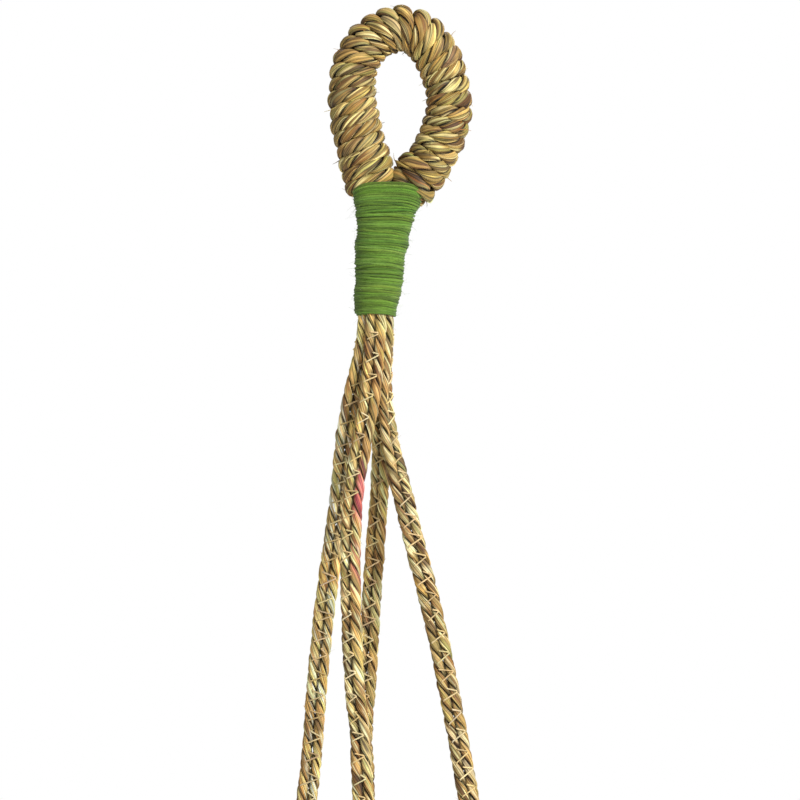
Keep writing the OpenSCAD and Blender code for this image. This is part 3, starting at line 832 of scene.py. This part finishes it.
for k in range(8):
    way = turned(HALF_EIGHTH + 45 * k)
    # inside the binding the cords draw together, so that they clear it as they swing
    route = [np.array([CRADLE_X, 0, -798]) + 0.84 * BUNDLE_R * way,
             np.array([CRADLE_X, 0, -802.5]) + 0.95 * BUNDLE_R * way]
    for r, z in TASSEL:
        route.append(np.array([CRADLE_X, 0, TASSEL_TOP_Z + (z - TASSEL_TOP_Z) * TASSEL_REACH[k]])
                     + (BUNDLE_R + (r - BUNDLE_R) * TASSEL_SPREAD[k]) * way)
    line = spaced(smooth(np.array(route)), STEP)
    parts = Parts()
    grass_cord(parts, line, rng_of(300 + k), pitch=14, loose=3)
    tie_parts = Parts()
    end = line[-1]
    along = unit(line[-12] - end)
    axes = (unit(np.cross([0, 1.0, 0], along)), unit(np.cross(along, np.cross([0, 1.0, 0], along))), along)
    tie_line = wound(lambda turn, down: ((CORD_R + 0.25) * np.cos(2 * math.pi * turn),
                                         (CORD_R + 0.25) * np.sin(2 * math.pi * turn), 0.0, 0.0),
                     end + 9.0 * along, 5.0, 0.55, rng_of(340 + k), tilt=0.15, lump=0.05, axes=axes,
                     per_turn=24)
    strand(tie_parts, tie_line, THREAD_R * 1.1, rng_of(360 + k), STRAW, twist=1.6, sides=6)
    tie = tie_parts.mesh(f"tassel_tie_{k + 1}", thread_material)
    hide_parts("tassel_end_ties")
    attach(tie, "tassel")
    piece = parts.mesh(f"tassel_cord_{k + 1}_twisted", grass_material)
    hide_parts(f"tassel_cord_{k + 1}", "tassel_neck_cords")
    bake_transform(piece)

# --------------------------------------------------------------------------------------------- studio

world = bpy.data.worlds.new("studio")
scene.world = world
world.use_nodes = True
background = world.node_tree.nodes["Background"]
background.inputs["Color"].default_value = (1, 1, 1, 1)
# the backdrop shows white, and lights the object less than that
seen = node(world.node_tree.nodes, "ShaderNodeLightPath")
level = node(world.node_tree.nodes, "ShaderNodeMapRange")
level.inputs["To Min"].default_value, level.inputs["To Max"].default_value = 0.41, 1.0
world.node_tree.links.new(seen.outputs["Is Camera Ray"], level.inputs["Value"])
world.node_tree.links.new(level.outputs["Result"], background.inputs["Strength"])


def area_light(name, place, target, wide, tall, power):
    data = bpy.data.lights.new(name, "AREA")
    data.shape, data.size, data.size_y, data.energy = "RECTANGLE", wide, tall, power
    lamp = bpy.data.objects.new(name, data)
    lamp.location = place
    way = np.array(target, float) - np.array(place, float)
    lamp.rotation_euler = (math.atan2(math.hypot(way[0], way[1]), -way[2]), 0,
                           math.atan2(way[1], way[0]) - math.pi / 2)
    scene.collection.objects.link(lamp)


area_light("key", (1.45, -1.55, 1.0), (0, 0, -0.25), 1.1, 0.4, 74)
area_light("fill", (0.2, -2.0, 0.3), (0, 0, -0.25), 1.0, 1.0, 11)
area_light("back", (0.4, 2.2, 0.8), (0, 0, -0.3), 1.4, 1.0, 40)

floor = bpy.data.meshes.new("floor")
# its radius and height, in metres
FLOOR_R, FLOOR_Z = 7.8, -1.15
rim = np.arange(64) * math.pi / 32
floor.from_pydata([(FLOOR_R * math.cos(a), FLOOR_R * math.sin(a), FLOOR_Z) for a in rim], [],
                  [tuple(range(64))])
floor.materials.append(bpy.data.materials.new("pale_floor"))
floor.materials[0].use_nodes = True
paint = floor.materials[0].node_tree.nodes["Principled BSDF"]
paint.inputs["Base Color"].default_value = (0.88, 0.87, 0.86, 1)
paint.inputs["Roughness"].default_value = 0.9
ground = bpy.data.objects.new("floor", floor)
scene.collection.objects.link(ground)

scene.view_settings.view_transform = "Standard"
